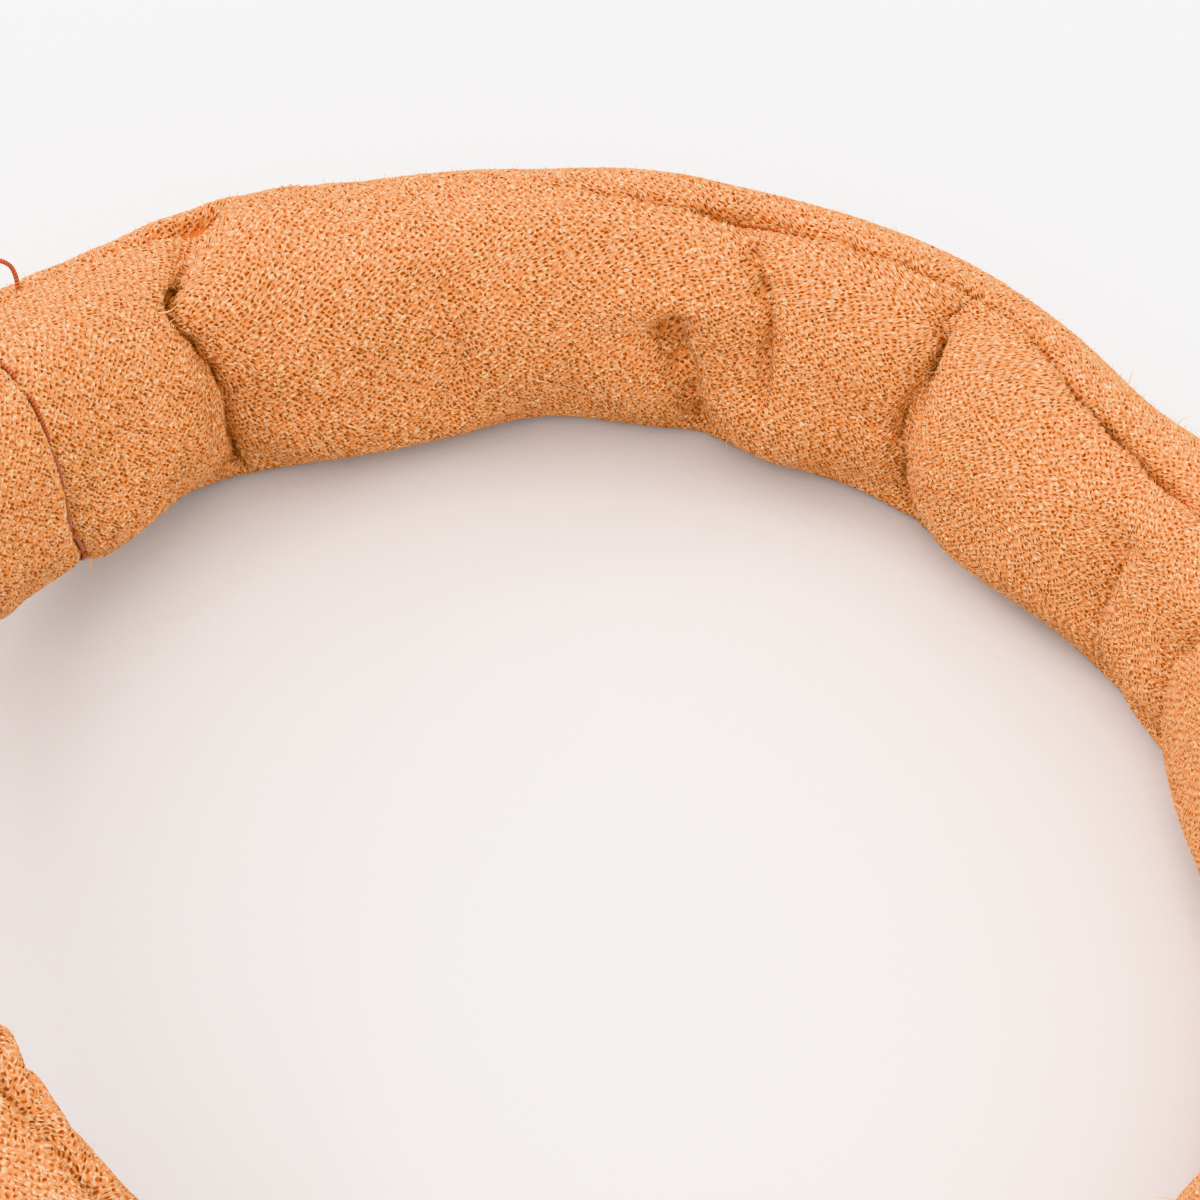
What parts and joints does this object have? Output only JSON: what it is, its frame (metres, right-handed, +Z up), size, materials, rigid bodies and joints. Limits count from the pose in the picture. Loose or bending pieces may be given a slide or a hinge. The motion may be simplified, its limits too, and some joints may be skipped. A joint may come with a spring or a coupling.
{
  "type": "spa headband",
  "caption": "Padded ring headband: a knit terry tube over a sponge core, seamed along its top and closed by a gathered elastic rear.",
  "frame": {"origin": "on the table, under the middle of the object's box", "axes": "+Z up from the table; +X toward the padded front; +Y toward the wearer's left side"},
  "size_m": [0.1944, 0.2028, 0.0579],
  "materials": {
    "front_cover": "apricot knit terry, brushed",
    "rear_sleeve": "apricot knit terry, gathered",
    "foam_core": "open-cell sponge",
    "rear_elastic": "woven elastic strap",
    "seam_thread": "sewing thread",
    "joint_thread": "sewing thread, darker orange"
  },
  "bodies": {
    "root": {"front_cover": "front_cover", "foam_core": "foam_core", "rear_sleeve": "rear_sleeve", "rear_elastic": "rear_elastic", "front_seam_thread": "seam_thread", "rear_seam_thread": "seam_thread", "left_joint_thread": "joint_thread", "right_joint_thread": "joint_thread", "left_bartack": "seam_thread", "right_bartack": "seam_thread"}
  },
  "joints": []
}
